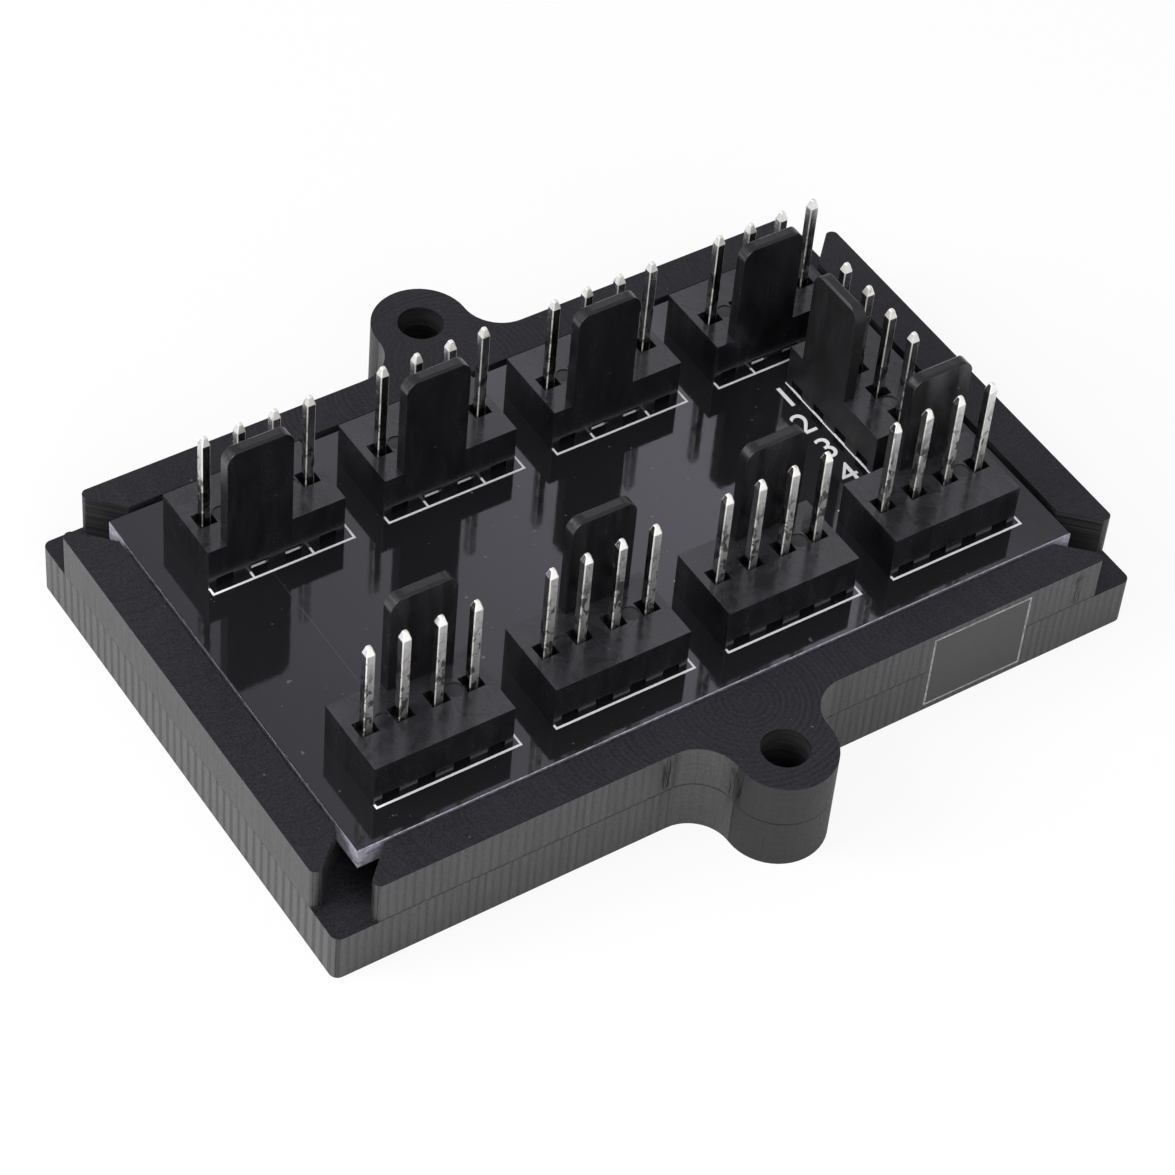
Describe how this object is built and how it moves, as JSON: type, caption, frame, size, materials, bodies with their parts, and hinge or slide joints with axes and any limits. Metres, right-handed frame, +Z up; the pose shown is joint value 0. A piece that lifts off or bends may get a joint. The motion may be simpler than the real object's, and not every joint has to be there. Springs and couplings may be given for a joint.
{
  "type": "fan hub board in a holder",
  "caption": "Flat circuit board with rows of keyed four-pin fan headers, seated in a milled rectangular holder with open corners and a screw ear on each long side.",
  "frame": {"origin": "centre of the holder's underside, midway between the two screw holes", "axes": "+X along the holder's long side towards the single input header, +Y towards the back row of fan headers, +Z up through the pins"},
  "size_m": [0.0614, 0.051, 0.0185],
  "materials": {
    "holder_plastic": "milled, satin",
    "solder_mask": "glossy lacquer over glass laminate",
    "print": "thin printed ink",
    "housing_plastic": "moulded, satin",
    "pin_metal": "bright tin plate",
    "solder": "satin solder"
  },
  "bodies": {
    "root": {"holder": "holder_plastic", "circuit_board": "solder_mask", "silkscreen": "print", "back_1_housing": "housing_plastic", "back_2_housing": "housing_plastic", "back_3_housing": "housing_plastic", "back_4_housing": "housing_plastic", "front_1_housing": "housing_plastic", "front_2_housing": "housing_plastic", "front_3_housing": "housing_plastic", "front_4_housing": "housing_plastic", "input_housing": "housing_plastic", "back_1_pin_1": "pin_metal", "back_1_pin_2": "pin_metal", "back_1_pin_3": "pin_metal", "back_1_pin_4": "pin_metal", "back_2_pin_1": "pin_metal", "back_2_pin_2": "pin_metal", "back_2_pin_3": "pin_metal", "back_2_pin_4": "pin_metal", "back_3_pin_1": "pin_metal", "back_3_pin_2": "pin_metal", "back_3_pin_3": "pin_metal", "back_3_pin_4": "pin_metal", "back_4_pin_1": "pin_metal", "back_4_pin_2": "pin_metal", "back_4_pin_3": "pin_metal", "back_4_pin_4": "pin_metal", "front_1_pin_1": "pin_metal", "front_1_pin_2": "pin_metal", "front_1_pin_3": "pin_metal", "front_1_pin_4": "pin_metal", "front_2_pin_1": "pin_metal", "front_2_pin_2": "pin_metal", "front_2_pin_3": "pin_metal", "front_2_pin_4": "pin_metal", "front_3_pin_1": "pin_metal", "front_3_pin_2": "pin_metal", "front_3_pin_3": "pin_metal", "front_3_pin_4": "pin_metal", "front_4_pin_1": "pin_metal", "front_4_pin_2": "pin_metal", "front_4_pin_3": "pin_metal", "front_4_pin_4": "pin_metal", "input_pin_1": "pin_metal", "input_pin_2": "pin_metal", "input_pin_3": "pin_metal", "input_pin_4": "pin_metal", "back_1_solder": "solder", "back_2_solder": "solder", "back_3_solder": "solder", "back_4_solder": "solder", "front_1_solder": "solder", "front_2_solder": "solder", "front_3_solder": "solder", "front_4_solder": "solder", "input_solder": "solder"}
  },
  "joints": []
}
